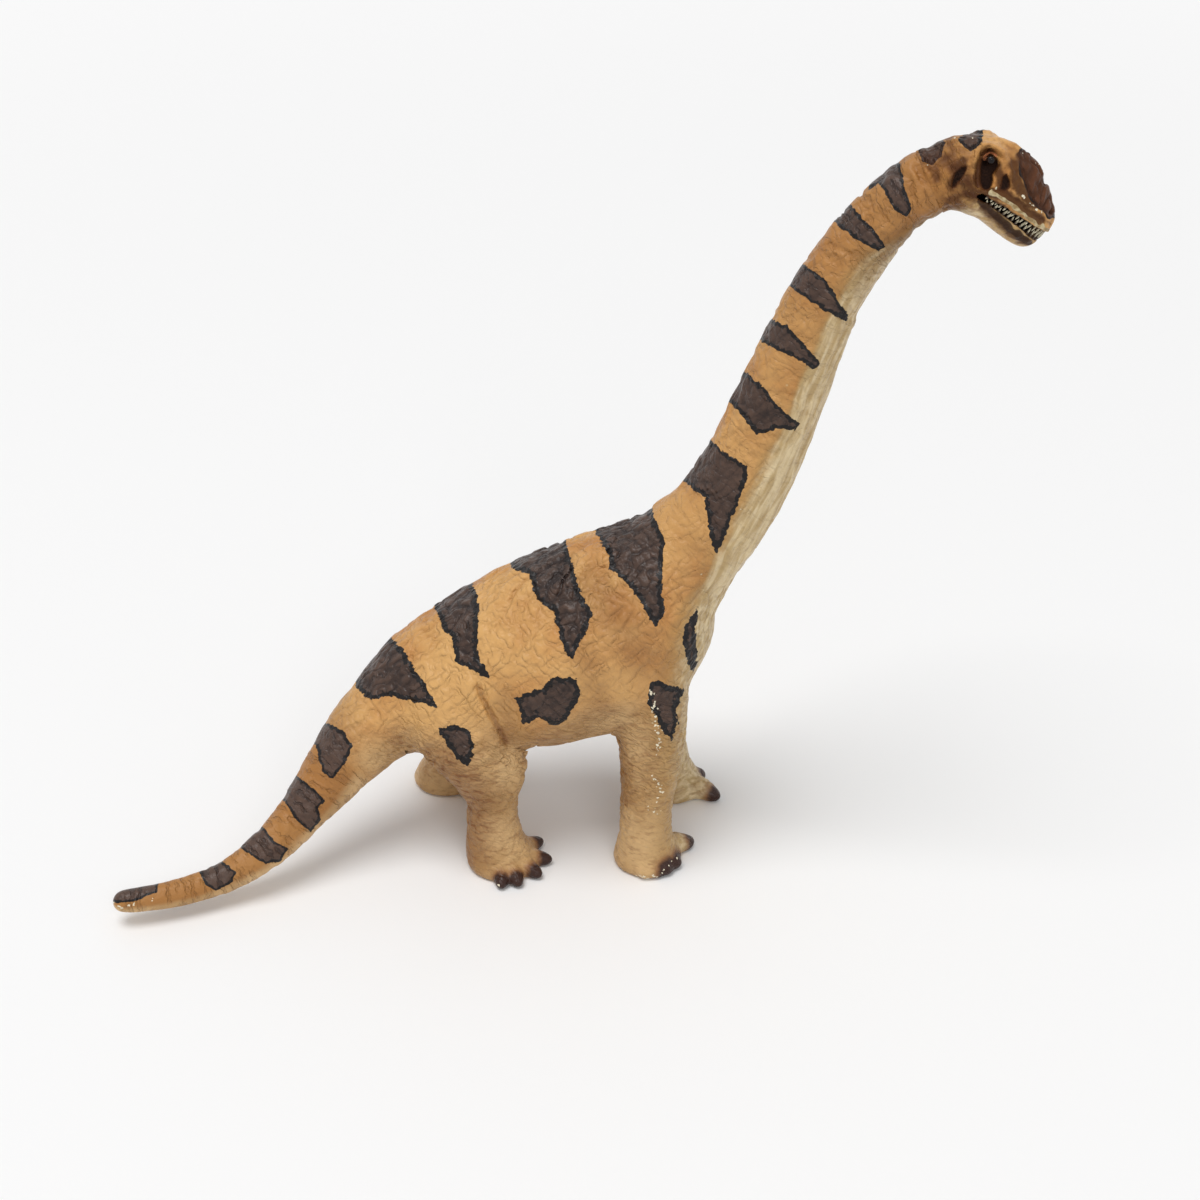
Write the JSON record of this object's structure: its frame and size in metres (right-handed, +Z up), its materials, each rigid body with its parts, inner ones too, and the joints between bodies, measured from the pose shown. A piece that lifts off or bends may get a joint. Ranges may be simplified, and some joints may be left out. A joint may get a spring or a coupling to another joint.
{
  "type": "toy dinosaur figure",
  "caption": "Standing long-necked dinosaur toy with raised neck, open mouth and swayed tail, moulded in solid pieces that plug together, flat under its soles.",
  "frame": {"origin": "on the floor plane, under the middle of the figure's outline", "axes": "+X towards the head, +Y to the figure's left side, +Z up"},
  "size_m": [0.1892, 0.066, 0.1583],
  "materials": {
    "body_skin": "soft PVC with a leathery grain, ochre shading to beige, dark brown stripes with black outlines, satin",
    "neck_skin": "soft PVC with ring wrinkles, ochre back and cream throat, dark brown stripes, satin",
    "head_skin": "soft PVC, ochre with a dark brown snout, cream lip and white teeth, satin",
    "jaw_skin": "soft PVC, beige below and dark brown inside the mouth, satin",
    "tail_skin": "soft PVC with ring wrinkles, ochre above and beige below, dark brown bands, satin",
    "fore_leg_skin": "soft PVC with fine creases, beige with a brown wash, dark brown claws, satin",
    "hind_leg_skin": "soft PVC with fine creases, beige with a brown wash, dark brown claws, satin",
    "eye_bead": "glossy black lacquer"
  },
  "bodies": {
    "root": {"torso": "body_skin", "neck": "neck_skin", "head": "head_skin", "lower_jaw": "jaw_skin", "tail": "tail_skin", "fore_leg_right": "fore_leg_skin", "fore_leg_left": "fore_leg_skin", "hind_leg_right": "hind_leg_skin", "hind_leg_left": "hind_leg_skin", "eye_right": "eye_bead", "eye_left": "eye_bead"}
  },
  "joints": []
}
